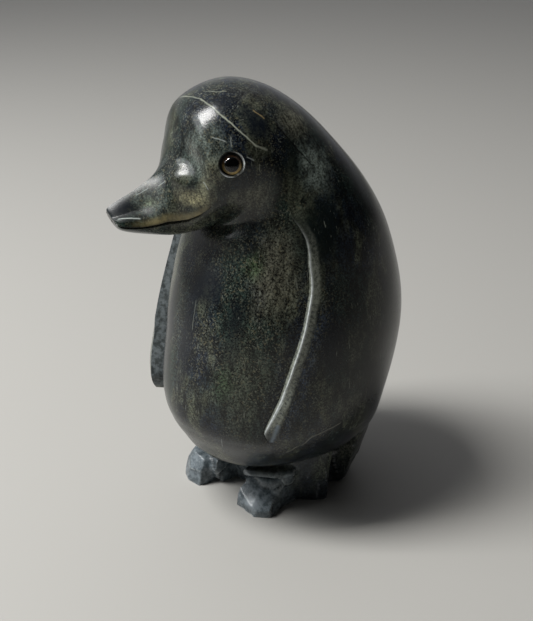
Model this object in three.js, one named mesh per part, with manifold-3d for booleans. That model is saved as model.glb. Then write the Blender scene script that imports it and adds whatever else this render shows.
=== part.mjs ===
// A penguin carved in one piece from dark green soapstone, standing on its own feet and tail.
// Two domed glass eyes sit in drilled sockets. Millimetres, +Z up, the bird faces -Y and its
// left side is +X. "Forward" below is the distance towards -Y from the body's own axis.
import * as THREE from "three";
import { ConvexGeometry } from "three/addons/geometries/ConvexGeometry.js";
import { mergeVertices } from "three/addons/utils/BufferGeometryUtils.js";
import Module from "manifold-3d";

const wasm = await Module();
wasm.setup();

const degrees = THREE.MathUtils.degToRad;

// ---- driving dimensions -------------------------------------------------------------------

// The stone is one tapering tube: up the belly, over the shoulders, round the head, out to the
// beak. Each station crosses it from a front (or under) point to a back (or top) point, given as
// [forward, height]; lean is how far the hand-cut belly sits to the bird's left there.
const STATIONS = [
  { place: "underside", front: [-6, 21], back: [-6, 19], halfWidth: 0, lean: 0 },
  { place: "belly rim", front: [22.5, 20], back: [-36, 16], halfWidth: 22.5, lean: -1.5 },
  { place: "lower belly", front: [36.5, 32.5], back: [-54.5, 26], halfWidth: 41.3, lean: -2 },
  { place: "wing tips", front: [46.7, 50], back: [-58, 50], halfWidth: 49.4, lean: -0.5 },
  { place: "middle", front: [42, 76.5], back: [-63.5, 82.7], halfWidth: 50.5, lean: 0 },
  { place: "shoulders", front: [34.5, 100.5], back: [-55.7, 115], halfWidth: 45.8, lean: 0 },
  { place: "neck", front: [26, 116.5], back: [-39, 141.3], halfWidth: 39.5, lean: 0 },
  { place: "nape", front: [20.5, 122], back: [-15.3, 166.3], halfWidth: 30, lean: 0 },
  { place: "crown", front: [20, 123], back: [7, 176.4], halfWidth: 28.8, lean: 0 },
  { place: "forehead", front: [23, 122.7], back: [26.7, 170.8], halfWidth: 25.9, lean: 0 },
  { place: "brow", front: [28, 121], back: [32.6, 157.7], halfWidth: 20.3, lean: 0 },
  { place: "beak root", front: [35, 119.5], back: [36.8, 147], halfWidth: 14, lean: 0 },
  { place: "mid beak", front: [44, 120.8], back: [47.2, 139.5], halfWidth: 11.6, lean: 0 },
  { place: "beak end", front: [55.2, 124], back: [59.2, 133.4], halfWidth: 8.9, lean: 0 },
  { place: "beak tip", front: [58.3, 127.3], back: [58.3, 130], halfWidth: 0, lean: 0 },
];

// The head is turned to the bird's right about an upright axis through the neck.
const HEAD_TURN = degrees(-22);
const NECK_AXIS_FORWARD = -8;
const TURN_STARTS = 5;
const TURN_ENDS = 8;

// Carved line down each flank: station, angle round from the front, depth of the chest below it.
// Below TURN_STARTS it is the front edge of the wing; on the head it becomes the mouth.
const CARVED_LINE = [
  { station: 1.0, angle: 38, depth: 0 },
  { station: 1.6, angle: 42, depth: 1.5 },
  { station: 2.2, angle: 45, depth: 5.5 },
  { station: 2.6, angle: 47.3, depth: 8.5 },
  { station: 3.0, angle: 43.2, depth: 8.8 },
  { station: 3.5, angle: 47.8, depth: 8.4 },
  { station: 4.0, angle: 50.6, depth: 7.5 },
  { station: 4.5, angle: 54.9, depth: 6 },
  { station: 5.0, angle: 58.4, depth: 5 },
  { station: 5.5, angle: 60, depth: 4.4 },
  { station: 6.0, angle: 65, depth: 3.2 },
  { station: 6.5, angle: 69, depth: 1.4 },
  { station: 6.9, angle: 66, depth: 0 },
];
const MOUTH_LINE = [
  { station: 9.3, angle: 67.2 },
  { station: 10.0, angle: 64 },
  { station: 10.6, angle: 64.5 },
  { station: 11.5, angle: 72 },
  { station: 12.3, angle: 68.3 },
  { station: 13.0, angle: 72.6 },
  { station: 13.5, angle: 92 },
  { station: 14.0, angle: 105 },
];
const MOUTH_DEPTH = 0.8;
const MOUTH_HALF_ANGLE = degrees(3.5);
const MOUTH_FADE = 0.8;
const TIP_FADE = 0.3;

// The upper beak is pared to two flatter faces that meet in a rounded ridge.
const ROOF_STARTS = 10.6;
const ROOF_FULL = 12;
const ROOF_ANGLE = degrees(72);
const ROOF_FLATNESS = 0.38;
// Towards the tip they are pared flatter still.
const TIP_FLATTER_STARTS = 11.3;
const TIP_FLATTER_OVER = 1;
const TIP_FLATTER = 0.6;

// The wings end in a level lower edge; behind the hip the back runs on into the tail.
const WING_BOTTOM_STATION = 2.62;
const HIP_ANGLE = degrees(118);
const CHEST_MIDDLE_SHARE = 0.35;
const CHEST_CURVE = 1.5;
// Share of the chest's depth that is cut beside each wing: the left step is much the shallower,
// and it dies out towards the wing's tip.
const STEP_SHARE_LEFT = 0.38;
const STEP_SHARE_LEFT_TIP = 0.1;
const STEP_SHARE_RIGHT = 0.95;
const STEP_GROWS_OVER = 0.7;

// Faceting of the carved tube.
const ROWS_BELOW_WINGS = 9;
const ROWS_ABOVE_WINGS = 45;
const COLUMNS_CHEST = 8;
const COLUMNS_BACK = 10;
const STEP_ANGLE = 0.012;
const STEP_STATION = 0.006;

// Legs and tail: one flared block under the belly, [across, forward] down the bird's left side.
const BLOCK_HEIGHT = 46;
const BLOCK_FLARE = 0.75;
const BLOCK_ROWS = 11;
const BLOCK_STEPS_PER_POINT = 3;
const BLOCK_ON_GROUND = [
  [0, 7], [12, 8], [22, 3], [30, -4], [32, -8], [28.5, -16], [27, -24.5], [21.5, -33], [10, -39], [0, -40],
];
const BLOCK_IN_BODY = [
  [0, 10], [12, 10], [24, 6], [32, -1], [36, -9],
  [39, -20], [38.5, -33], [31.5, -44.2], [17.5, -53.2], [0, -56.8],
];

// Hollow scooped between the heel and the tail: middle [across, forward, height] and radii.
const HOLLOW_MIDDLE = [38, -15.5, 8];
const HOLLOW_RADII = [14, 8.5, 26];
const HOLLOW_SEGMENTS = 20;

// Each foot is three chisel-cut lumps, corners given as [across, forward, height].
const LEFT_TOES = [
  [7.5, 22.2, 0], [19.5, 23.6, 0], [24.5, 19.5, 0], [23.4, 11, 0], [8, 9, 0], [8, 22, 4], [17, 23.2, 3],
  [19.5, 23, 3.5], [24, 19.5, 3.5], [23.2, 11, 4], [7.8, 20.3, 8.2], [15.9, 17.8, 8], [22.3, 12.6, 5.5],
  [8, 12, 9], [20, 9, 9],
];
const RIGHT_TOES = [
  [13.7, 24.2, 0], [20.5, 24.7, 0], [25.8, 21.8, 0], [27, 10, 0], [11, 9, 0], [12.5, 20.5, 0],
  [14, 23, 7.5], [20, 23.2, 7.5], [25, 20.5, 7], [11.8, 18.5, 8], [14.5, 20, 11], [20, 20, 12],
  [24, 17, 12], [12, 12, 11], [26, 9, 13],
];
const INSTEP = [
  [8.5, 15, 0], [22, 15, 0], [24, 3, 0], [7, 6, 0], [9, 19.2, 8], [15.5, 17.2, 8], [21.5, 12.3, 7],
  [9, 18.3, 12.5], [15.5, 15.4, 12.5], [21.5, 11.5, 12.5], [24, 6, 14], [7, 8, 14], [24.5, 1, 16],
  [7, 3, 16],
];
const ANKLE_LEDGE = [
  [8, 19.5, 14.3], [12.5, 18.6, 14.3], [20.5, 12.8, 14.3], [25.5, 6, 14.3], [25.5, 0, 14.3], [7, 0, 14.3],
  [8.5, 19, 17], [12.5, 18, 17.3], [20, 12.5, 17.3], [25, 6, 17.3], [25, 0, 17.3], [7, 0, 17.3],
];

// Glass eyes: a flat-backed dome in a drilled socket with a flared rim.
const EYE_STATION = 8.6;
const EYE_ANGLE = degrees(97.4);
const EYE_RADIUS = 3.9;
const EYE_DOME = 2.7;
const EYE_WALL = 1.2;
const EYE_SUNK = 2.0;
const EYE_GAP = 0.3;
const SOCKET_RIM_RADIUS = 5.1;
const SOCKET_FLARE_DEPTH = 1.6;
const SOCKET_CLEAR = 6;
const EYE_SEGMENTS = 28;
const EYE_RINGS = 7;

// The body's own axis stands this far from the middle of the whole carving's bounding box.
const AXIS_ACROSS = 0.1;
const AXIS_FORWARD = 3.8;

// ---- curves -------------------------------------------------------------------------------

// Value at a real-numbered position along equally spaced keys, by a Catmull-Rom curve.
function alongKeys(keys, position) {
  const last = keys.length - 1;
  const i = Math.min(Math.floor(position), last - 1);
  const s = position - i;
  const b = keys[i];
  const c = keys[i + 1];
  const a = i > 0 ? keys[i - 1] : 2 * b - c;
  const d = i < last - 1 ? keys[i + 2] : 2 * c - b;
  const linear = c - a;
  const square = 2 * a - 5 * b + 4 * c - d;
  const cube = 3 * b - a - 3 * c + d;
  return 0.5 * (2 * b + s * (linear + s * (square + s * cube)));
}

function between(keys, station, field) {
  const next = keys.findIndex((key) => key.station >= station);
  if (next === 0) return keys[0][field];
  if (next < 0) return keys[keys.length - 1][field];
  const low = keys[next - 1];
  const high = keys[next];
  const share = (station - low.station) / (high.station - low.station);
  return THREE.MathUtils.lerp(low[field], high[field], share);
}

const smooth = (x) => THREE.MathUtils.smoothstep(x, 0, 1);

const FRONT_FORWARD = STATIONS.map((s) => s.front[0]);
const FRONT_HEIGHT = STATIONS.map((s) => s.front[1]);
const BACK_FORWARD = STATIONS.map((s) => s.back[0]);
const BACK_HEIGHT = STATIONS.map((s) => s.back[1]);
const HALF_WIDTH = STATIONS.map((s) => s.halfWidth);
const LEAN = STATIONS.map((s) => s.lean);
const LAST_STATION = STATIONS.length - 1;

// ---- the carved tube ----------------------------------------------------------------------

// Point of the stone at a station and an angle round it: 0 is the front, pi the back, and the
// sign of side picks the bird's left (+1) or right (-1). Sunk moves it in below the surface.
function stonePoint(station, angle, side, sunk) {
  const frontForward = alongKeys(FRONT_FORWARD, station);
  const frontHeight = alongKeys(FRONT_HEIGHT, station);
  const backForward = alongKeys(BACK_FORWARD, station);
  const backHeight = alongKeys(BACK_HEIGHT, station);
  const halfWidth = Math.max(alongKeys(HALF_WIDTH, station), 0);
  const halfDepth = Math.hypot(backForward - frontForward, backHeight - frontHeight) / 2;
  const inward = sunk + roofSunk(station, angle, halfWidth, halfDepth);
  const widthLeft = Math.max(halfWidth - inward, 0);
  const depthLeft = halfDepth > 0 ? Math.max(1 - inward / halfDepth, 0) : 0;
  const along = -Math.cos(angle) * depthLeft;
  const forward = (frontForward + backForward) / 2 + ((backForward - frontForward) / 2) * along;
  const height = (frontHeight + backHeight) / 2 + ((backHeight - frontHeight) / 2) * along;
  const across = alongKeys(LEAN, station) + side * Math.sin(angle) * widthLeft;
  const turn = HEAD_TURN * smooth((station - TURN_STARTS) / (TURN_ENDS - TURN_STARTS));
  const reach = forward - NECK_AXIS_FORWARD;
  const turnedForward = NECK_AXIS_FORWARD + reach * Math.cos(turn) - across * Math.sin(turn);
  const turnedAcross = reach * Math.sin(turn) + across * Math.cos(turn);
  return new THREE.Vector3(turnedAcross, -turnedForward, height);
}

// Angle of the carved line: the wing's front edge below, the mouth on the head.
function lineAngle(station) {
  const wingTop = CARVED_LINE[CARVED_LINE.length - 1];
  const mouthStart = MOUTH_LINE[0];
  if (station <= wingTop.station) return degrees(between(CARVED_LINE, station, "angle"));
  if (station >= mouthStart.station) return degrees(between(MOUTH_LINE, station, "angle"));
  const share = (station - wingTop.station) / (mouthStart.station - wingTop.station);
  return degrees(THREE.MathUtils.lerp(wingTop.angle, mouthStart.angle, smooth(share)));
}

function chestDepth(station) {
  if (station < CARVED_LINE[0].station) return 0;
  return between(CARVED_LINE, station, "depth");
}

function stepShare(side, station) {
  if (side < 0) return STEP_SHARE_RIGHT;
  const grown = smooth((station - WING_BOTTOM_STATION) / STEP_GROWS_OVER);
  return STEP_SHARE_LEFT_TIP + (STEP_SHARE_LEFT - STEP_SHARE_LEFT_TIP) * grown;
}

function chestSunk(station, share, side) {
  const rest = (stepShare(side, station) - CHEST_MIDDLE_SHARE) * Math.pow(share, CHEST_CURVE);
  return chestDepth(station) * (CHEST_MIDDLE_SHARE + rest);
}

function flankSunk(station, angle, edge, side) {
  if (station >= WING_BOTTOM_STATION) return 0;
  return stepShare(side, station) * chestDepth(station) * (1 - smooth((angle - edge) / (HIP_ANGLE - edge)));
}

// How far the beak's upper faces lie in from the oval: most halfway between side and ridge.
function roofSunk(station, angle, halfWidth, halfDepth) {
  if (station <= ROOF_STARTS || angle <= ROOF_ANGLE || halfWidth <= 0) return 0;
  const share = smooth((station - ROOF_STARTS) / (ROOF_FULL - ROOF_STARTS));
  const bulge = (halfWidth * halfDepth) / Math.hypot(halfWidth, halfDepth);
  const round = Math.sin((Math.PI * (angle - ROOF_ANGLE)) / (Math.PI - ROOF_ANGLE));
  const flatter = 1 + TIP_FLATTER * smooth((station - TIP_FLATTER_STARTS) / TIP_FLATTER_OVER);
  return ROOF_FLATNESS * share * flatter * bulge * round;
}

function mouthSunk(station) {
  const start = MOUTH_LINE[0].station;
  return MOUTH_DEPTH * smooth((station - start) / MOUTH_FADE) * smooth((LAST_STATION - station) / TIP_FADE);
}

// One row of points round the stone, from the front round the left side and back again.
function stoneRow(station) {
  const edge = lineAngle(station);
  const half = (side) => {
    const points = [];
    const add = (angle, sunk) => points.push(stonePoint(station, angle, side, sunk));
    for (let i = 0; i < COLUMNS_CHEST; i++) {
      const share = i / COLUMNS_CHEST;
      add(edge * share, chestSunk(station, share, side));
    }
    const inner = edge - MOUTH_HALF_ANGLE;
    add(inner, chestSunk(station, inner / edge, side));
    add(edge, chestSunk(station, 1, side) + mouthSunk(station));
    const outer = edge + STEP_ANGLE;
    add(outer, flankSunk(station, outer, edge, side) + mouthSunk(station));
    const backStart = edge + MOUTH_HALF_ANGLE + STEP_ANGLE;
    for (let i = 0; i <= COLUMNS_BACK; i++) {
      const angle = THREE.MathUtils.lerp(backStart, Math.PI, i / COLUMNS_BACK);
      add(angle, flankSunk(station, angle, edge, side));
    }
    return points;
  };
  const left = half(1);
  const right = half(-1);
  return left.concat(right.slice(1, -1).reverse());
}

// Closes rows of equal length into one skin, with a pole point before the first and after the
// last row. Rows run round so that the skin faces out.
function skin(rows, firstPole, lastPole) {
  const count = rows[0].length;
  const points = rows.flat().concat([firstPole, lastPole]);
  const first = rows.length * count;
  const last = first + 1;
  const index = [];
  for (let r = 0; r + 1 < rows.length; r++) {
    for (let c = 0; c < count; c++) {
      const a = r * count + c;
      const b = r * count + ((c + 1) % count);
      index.push(a, b, b + count, a, b + count, a + count);
    }
  }
  for (let c = 0; c < count; c++) {
    const next = (c + 1) % count;
    const top = (rows.length - 1) * count;
    index.push(first, next, c);
    index.push(top + c, top + next, last);
  }
  const geometry = new THREE.BufferGeometry().setFromPoints(points);
  geometry.setIndex(index);
  return geometry;
}

function carvedTube() {
  const stations = [];
  for (let i = 1; i <= ROWS_BELOW_WINGS; i++) {
    const share = i / ROWS_BELOW_WINGS;
    stations.push((WING_BOTTOM_STATION - STEP_STATION) * share);
  }
  for (let i = 0; i < ROWS_ABOVE_WINGS; i++) {
    const share = i / ROWS_ABOVE_WINGS;
    stations.push(THREE.MathUtils.lerp(WING_BOTTOM_STATION + STEP_STATION, LAST_STATION, share));
  }
  const rows = stations.map(stoneRow);
  const under = stonePoint(0, Math.PI / 2, 1, 0);
  const tip = stonePoint(LAST_STATION, Math.PI / 2, 1, 0);
  return skin(rows, under, tip);
}

// ---- legs, tail and feet ------------------------------------------------------------------

// A closed outline through the half outline's points and their mirror images.
function mirroredOutline(half) {
  const mirrored = half.slice(1, -1).reverse().map(([across, forward]) => [-across, forward]);
  const points = half.concat(mirrored).map(([across, forward]) => new THREE.Vector3(across, forward, 0));
  const curve = new THREE.CatmullRomCurve3(points, true, "catmullrom", 0.5);
  const steps = points.length * BLOCK_STEPS_PER_POINT;
  return Array.from({ length: steps }, (_, i) => curve.getPoint(i / steps));
}

function legBlock() {
  const ground = mirroredOutline(BLOCK_ON_GROUND);
  const top = mirroredOutline(BLOCK_IN_BODY);
  const rows = [];
  for (let r = 0; r <= BLOCK_ROWS; r++) {
    const rise = r / BLOCK_ROWS;
    const share = Math.pow(rise, BLOCK_FLARE);
    const row = ground.map((point, i) => {
      const at = point.clone().lerp(top[i], share);
      return new THREE.Vector3(at.x, -at.y, rise * BLOCK_HEIGHT);
    });
    rows.push(row);
  }
  const middle = (row) => {
    const sum = row.reduce((total, point) => total.add(point), new THREE.Vector3());
    return sum.divideScalar(row.length);
  };
  return skin(rows, middle(rows[0]), middle(rows[rows.length - 1]));
}

function lump(corners, side) {
  const points = corners.map(([across, forward, height]) => {
    return new THREE.Vector3(side * across, -forward, height);
  });
  return new ConvexGeometry(points);
}

function hollow(side) {
  const [across, forward, height] = HOLLOW_MIDDLE;
  const ball = new THREE.SphereGeometry(1, HOLLOW_SEGMENTS, HOLLOW_SEGMENTS / 2);
  ball.rotateX(Math.PI / 2);
  ball.scale(...HOLLOW_RADII);
  ball.translate(side * across, -forward, height);
  return ball;
}

// ---- eyes ---------------------------------------------------------------------------------

// Middle of the eye on the head's surface, and the outward direction there.
function eyePlace(side) {
  const step = 0.02;
  const middle = stonePoint(EYE_STATION, EYE_ANGLE, side, 0);
  const ahead = stonePoint(EYE_STATION + step, EYE_ANGLE, side, 0).sub(middle);
  const round = stonePoint(EYE_STATION, EYE_ANGLE + step, side, 0).sub(middle);
  const outward = new THREE.Vector3().crossVectors(round, ahead).multiplyScalar(side).normalize();
  return { middle, outward };
}

// Turns a solid made along +Y so that +Y points out of the eye, and sets it there.
function atEye(geometry, side) {
  const { middle, outward } = eyePlace(side);
  const turn = new THREE.Quaternion().setFromUnitVectors(new THREE.Vector3(0, 1, 0), outward);
  geometry.applyQuaternion(turn);
  geometry.translate(middle.x, middle.y, middle.z);
  return geometry;
}

// Solid of revolution from a profile of [radius, height] that starts and ends on the axis.
function turned(profile) {
  const points = profile.map(([radius, height]) => new THREE.Vector2(radius, height));
  return new THREE.LatheGeometry(points, EYE_SEGMENTS);
}

const EYE_FLOOR = -(EYE_SUNK + EYE_WALL);

function glassEye(side) {
  const profile = [
    [0, EYE_FLOOR],
    [EYE_RADIUS, EYE_FLOOR],
  ];
  for (let i = 0; i < EYE_RINGS; i++) {
    const angle = (Math.PI / 2) * (i / EYE_RINGS);
    profile.push([EYE_RADIUS * Math.cos(angle), EYE_DOME * Math.sin(angle) - EYE_SUNK]);
  }
  profile.push([0, EYE_DOME - EYE_SUNK]);
  return atEye(turned(profile), side);
}

function socketCutter(side) {
  const bore = EYE_RADIUS + EYE_GAP;
  return atEye(
    turned([
      [0, EYE_FLOOR - EYE_GAP],
      [bore, EYE_FLOOR - EYE_GAP],
      [bore, -SOCKET_FLARE_DEPTH],
      [SOCKET_RIM_RADIUS, 0],
      [SOCKET_RIM_RADIUS, SOCKET_CLEAR],
      [0, SOCKET_CLEAR],
    ]),
    side,
  );
}

// ---- joining and cutting ------------------------------------------------------------------

function toSolid(geometry) {
  const bare = geometry.clone();
  bare.deleteAttribute("normal");
  bare.deleteAttribute("uv");
  const merged = mergeVertices(bare, 1e-4);
  return new wasm.Manifold(
    new wasm.Mesh({
      numProp: 3,
      vertProperties: merged.attributes.position.array,
      triVerts: new Uint32Array(merged.index.array),
    }),
  );
}

function toGeometry(solid) {
  const mesh = solid.getMesh();
  const geometry = new THREE.BufferGeometry();
  geometry.setAttribute("position", new THREE.BufferAttribute(mesh.vertProperties, 3));
  geometry.setIndex(new THREE.BufferAttribute(mesh.triVerts, 1));
  geometry.translate(AXIS_ACROSS, -AXIS_FORWARD, 0);
  const faceted = geometry.toNonIndexed();
  faceted.computeVertexNormals();
  return faceted;
}

function carvedBird() {
  const left = [LEFT_TOES, INSTEP, ANKLE_LEDGE].map((corners) => lump(corners, 1));
  const right = [RIGHT_TOES, INSTEP, ANKLE_LEDGE].map((corners) => lump(corners, -1));
  const parts = [carvedTube(), legBlock(), ...left, ...right].map(toSolid);
  const whole = wasm.Manifold.union(parts);
  const cutters = [1, -1].flatMap((side) => [socketCutter(side), hollow(side)]);
  return toGeometry(whole.subtract(wasm.Manifold.union(cutters.map(toSolid))));
}

function named(name, geometry, material) {
  const mesh = new THREE.Mesh(geometry, new THREE.MeshStandardMaterial(material));
  mesh.name = name;
  return mesh;
}

const bird = new THREE.Group();
bird.name = "soapstone_bird";
const stone = { color: 0x2c3a33, roughness: 0.25, metalness: 0 };
const glass = { color: 0x2a1608, roughness: 0.05, metalness: 0 };
bird.add(named("stone_penguin", carvedBird(), stone));
bird.add(named("left_eye", toGeometry(toSolid(glassEye(1))), glass));
bird.add(named("right_eye", toGeometry(toSolid(glassEye(-1))), glass));

export default bird;
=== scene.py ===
import math

import bmesh
import bpy
import numpy as np
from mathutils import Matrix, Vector


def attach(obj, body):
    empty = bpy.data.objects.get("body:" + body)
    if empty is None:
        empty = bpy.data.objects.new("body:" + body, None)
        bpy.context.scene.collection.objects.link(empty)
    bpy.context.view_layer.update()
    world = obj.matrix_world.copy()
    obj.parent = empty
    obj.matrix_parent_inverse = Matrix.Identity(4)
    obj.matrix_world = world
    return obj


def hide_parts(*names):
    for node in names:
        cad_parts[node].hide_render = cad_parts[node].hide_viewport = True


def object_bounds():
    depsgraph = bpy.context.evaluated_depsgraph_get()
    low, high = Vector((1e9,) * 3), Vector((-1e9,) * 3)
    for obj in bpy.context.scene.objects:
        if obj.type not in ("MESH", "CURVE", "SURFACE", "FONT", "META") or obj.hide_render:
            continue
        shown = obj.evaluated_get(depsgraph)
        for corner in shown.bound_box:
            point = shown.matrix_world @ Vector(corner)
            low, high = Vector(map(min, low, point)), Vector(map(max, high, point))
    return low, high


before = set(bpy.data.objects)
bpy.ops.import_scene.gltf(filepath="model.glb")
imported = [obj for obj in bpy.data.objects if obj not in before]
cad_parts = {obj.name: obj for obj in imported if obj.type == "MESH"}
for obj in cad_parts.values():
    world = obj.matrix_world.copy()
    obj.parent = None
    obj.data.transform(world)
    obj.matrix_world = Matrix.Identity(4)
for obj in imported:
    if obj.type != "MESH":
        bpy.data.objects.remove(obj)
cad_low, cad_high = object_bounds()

# ---- The body, head and beak --------------------------------------------------------------
# One tapering tube of dark green soapstone, ground smooth and waxed. It runs up the belly,
# over the shoulders and round the turned head to the beak; the wings stand proud of the chest.

MM = 0.001

# Ovals across the stone, in millimetres: front (or under) point as forward and height, back
# (or top) point as forward and height, half width, and lean to the bird's left.
STATIONS = np.array([
    [-6, 21, -6, 19, 0, 0],
    [22.5, 20, -36, 16, 22.5, -1.5],
    [36.5, 32.5, -54.5, 26, 41.3, -2],
    [46.7, 50, -58, 50, 49.4, -0.5],
    [42, 76.5, -63.5, 82.7, 50.5, 0],
    [34.5, 100.5, -55.7, 115, 45.8, 0],
    [26, 116.5, -39, 141.3, 39.5, 0],
    [20.5, 122, -15.3, 166.3, 30, 0],
    [20, 123, 7, 176.4, 28.8, 0],
    [23, 122.7, 26.7, 170.8, 25.9, 0],
    [28, 121, 32.6, 157.7, 20.3, 0],
    [35, 119.5, 36.8, 147, 14, 0],
    [44, 120.8, 47.2, 139.5, 11.6, 0],
    [55.2, 124, 59.2, 133.4, 8.9, 0],
    [58.3, 127.3, 58.3, 130, 0, 0],
], float)
LAST = len(STATIONS) - 1
HEAD_TURN = math.radians(-22)
NECK_AXIS_FORWARD = -8
TURN_STARTS, TURN_ENDS = 5, 8
AXIS_ACROSS, AXIS_FORWARD = 0.1, 3.8

# Wing edge down the flank: station, angle round from the front, depth of the chest below it.
WING_EDGE = np.array([
    [1.0, 38, 0], [1.6, 42, 1.5], [2.2, 45, 5.5], [2.6, 47.3, 8.5], [3.0, 43.2, 8.8], [3.5, 47.8, 8.4],
    [4.0, 50.6, 7.5], [4.5, 54.9, 6], [5.0, 58.4, 5], [5.5, 60, 4.4], [6.0, 65, 3.2], [6.5, 69, 1.4],
    [6.9, 66, 0],
], float)
MOUTH = np.array([
    [9.3, 67.2], [10.0, 64], [10.6, 64.5], [11.5, 72], [12.3, 68.3], [13.0, 72.6], [13.5, 92], [14.0, 105],
], float)
# The step up to the left wing is cut much shallower than the step up to the right one, and it
# dies out at the wing's tip.
CHEST_MIDDLE, STEP_LEFT, STEP_RIGHT = 0.35, 0.38, 0.95
STEP_AT_TIP, STEP_GROWS_OVER = 0.1, 0.7
WING_BOTTOM = 2.62
HIP_ANGLE = math.radians(118)
WALL_ANGLE = 0.012
# The upper beak is pared flat from its root on, and flatter still towards the tip.
ROOF_STARTS, ROOF_FULL, ROOF_ANGLE, ROOF_FLATNESS = 10.6, 12, math.radians(72), 0.38
TIP_FLATTER, TIP_FLATTER_STARTS, TIP_FLATTER_OVER = 0.6, 11.3, 1.0


def smooth(x):
    """3x squared less 2x cubed, with x held between 0 and 1."""
    x = np.clip(x, 0, 1)
    return x * x * (3 - 2 * x)


def along(keys, t):
    """Catmull-Rom curve through equally spaced keys, read at the positions t: between keys b
    and c it is half of 2b + (c-a)s + (2a-5b+4c-d)s^2 + (3b-a-3c+d)s^3."""
    last = len(keys) - 1
    i = np.clip(np.floor(t).astype(int), 0, last - 1)
    s = (t - i)[..., None]
    b, c = keys[i], keys[i + 1]
    a = np.where((i > 0)[..., None], keys[np.maximum(i - 1, 0)], 2 * b - c)
    d = np.where((i < last - 1)[..., None], keys[np.minimum(i + 2, last)], 2 * c - b)
    return 0.5 * (2 * b + s * ((c - a) + s * ((2 * a - 5 * b + 4 * c - d) + s * (3 * b - a - 3 * c + d))))


def stone_point(t, angle, side, sunk):
    """Point of the stone: an oval of the station t at an angle round from its front point, its
    half sizes less sunk, then turned with the head about an upright axis in the neck. The upper
    beak is pared flatter by a half sine between its side and its ridge, more so at the tip."""
    front_f, front_h, back_f, back_h, half_width, lean = np.moveaxis(along(STATIONS, t), -1, 0)
    half_depth = np.hypot(back_f - front_f, back_h - front_h) / 2
    half_width = np.maximum(half_width, 0)
    bulge = half_width * half_depth / np.maximum(np.hypot(half_width, half_depth), 1e-6)
    up_side = np.clip((angle - ROOF_ANGLE) / (np.pi - ROOF_ANGLE), 0, 1)
    flatness = ROOF_FLATNESS * smooth((t - ROOF_STARTS) / (ROOF_FULL - ROOF_STARTS))
    pared = flatness * bulge * np.sin(np.pi * up_side)
    pared = pared * (1 + TIP_FLATTER * smooth((t - TIP_FLATTER_STARTS) / TIP_FLATTER_OVER))
    sunk = sunk + pared
    c = -np.cos(angle) * np.maximum(1 - sunk / np.maximum(half_depth, 1e-6), 0)
    forward = (front_f + back_f) / 2 + (back_f - front_f) / 2 * c
    height = (front_h + back_h) / 2 + (back_h - front_h) / 2 * c
    across = lean + side * np.sin(angle) * np.maximum(half_width - sunk, 0)
    turn = HEAD_TURN * smooth((t - TURN_STARTS) / (TURN_ENDS - TURN_STARTS))
    reach = forward - NECK_AXIS_FORWARD
    f = NECK_AXIS_FORWARD + reach * np.cos(turn) - across * np.sin(turn)
    x = reach * np.sin(turn) + across * np.cos(turn)
    return np.stack([x + AXIS_ACROSS, -f - AXIS_FORWARD, height], -1)


def line_angle(t):
    """Angle of the carved line: the wing edge below, the mouth on the head, blended between."""
    share = smooth((t - WING_EDGE[-1, 0]) / (MOUTH[0, 0] - WING_EDGE[-1, 0]))
    neck = WING_EDGE[-1, 1] + (MOUTH[0, 1] - WING_EDGE[-1, 1]) * share
    below = np.interp(t, WING_EDGE[:, 0], WING_EDGE[:, 1])
    above = np.interp(t, MOUTH[:, 0], MOUTH[:, 1])
    return np.radians(np.where(t <= WING_EDGE[-1, 0], below, np.where(t >= MOUTH[0, 0], above, neck)))


def waves(points, longest, shortest, seed, count=14):
    """Sum of cosine waves in random directions, from -1 to 1: the unevenness of hand grinding."""
    pick = np.random.default_rng(seed)
    direction = pick.normal(size=(count, 3))
    direction /= np.linalg.norm(direction, axis=1)[:, None]
    length = pick.uniform(shortest, longest, count)
    phase = pick.uniform(0, 2 * np.pi, count)
    total = np.cos(points @ (direction * (2 * np.pi / length)[:, None]).T + phase).sum(-1)
    return total / math.sqrt(count * 2)


# The chest, the step up to the wing edge, and the flank and back are three runs of columns,
# drawn together towards the carved line so that its ridge and the mouth groove stay crisp.
# Two rows stand close on either side of the wings' lower ends, which are cut square there.
ROWS_BELOW, ROWS_ABOVE, END_GAP, TIP_GAP = 43, 221, 0.006, 0.012
low = np.linspace(0, 1, ROWS_BELOW + 1)[1:] * (WING_BOTTOM - END_GAP)
high = WING_BOTTOM + END_GAP + np.linspace(0, 1, ROWS_ABOVE) * (LAST - TIP_GAP - WING_BOTTOM - END_GAP)
t = np.concatenate([low, high])[:, None]
edge = line_angle(t)
half_width = np.maximum(along(STATIONS, t)[..., 4], 1)
depth = np.interp(t, WING_EDGE[:, 0], WING_EDGE[:, 2], left=0, right=0)
CHEST_COLUMNS, WALL_COLUMNS, FLANK_COLUMNS, CROWDING = 48, 6, 68, 1.7
chest = 1 - (1 - np.linspace(0, 1, CHEST_COLUMNS)[None]) ** CROWDING
wall = np.linspace(0, 1, WALL_COLUMNS)[None, 1:]
flank = np.linspace(0, 1, FLANK_COLUMNS)[None, 1:] ** CROWDING
outer = edge + WALL_ANGLE
flank_angle = outer + (np.pi - outer) * flank
angle = np.concatenate([edge * chest, edge + WALL_ANGLE * wall, flank_angle], 1)
t = np.broadcast_to(t, angle.shape)
from_line = (angle - edge) * half_width

# A flat is rubbed along the wing below its elbow, widening towards the tip.
BEVEL_DEPTH, ELBOW, BEVEL_AT_TIP, BEVEL_AT_ELBOW = 1.3, 3.75, 5.5, 3.8
to_tip = smooth((ELBOW - t) / (ELBOW - WING_BOTTOM))
bevel_width = BEVEL_AT_ELBOW + (BEVEL_AT_TIP - BEVEL_AT_ELBOW) * to_tip
on_bevel = smooth((ELBOW + 0.12 - t) / 0.3) * smooth((t - WING_BOTTOM) / 0.55) * (from_line > 0)
bevel = on_bevel * np.clip(1 - from_line / bevel_width, 0, 1)

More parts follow.
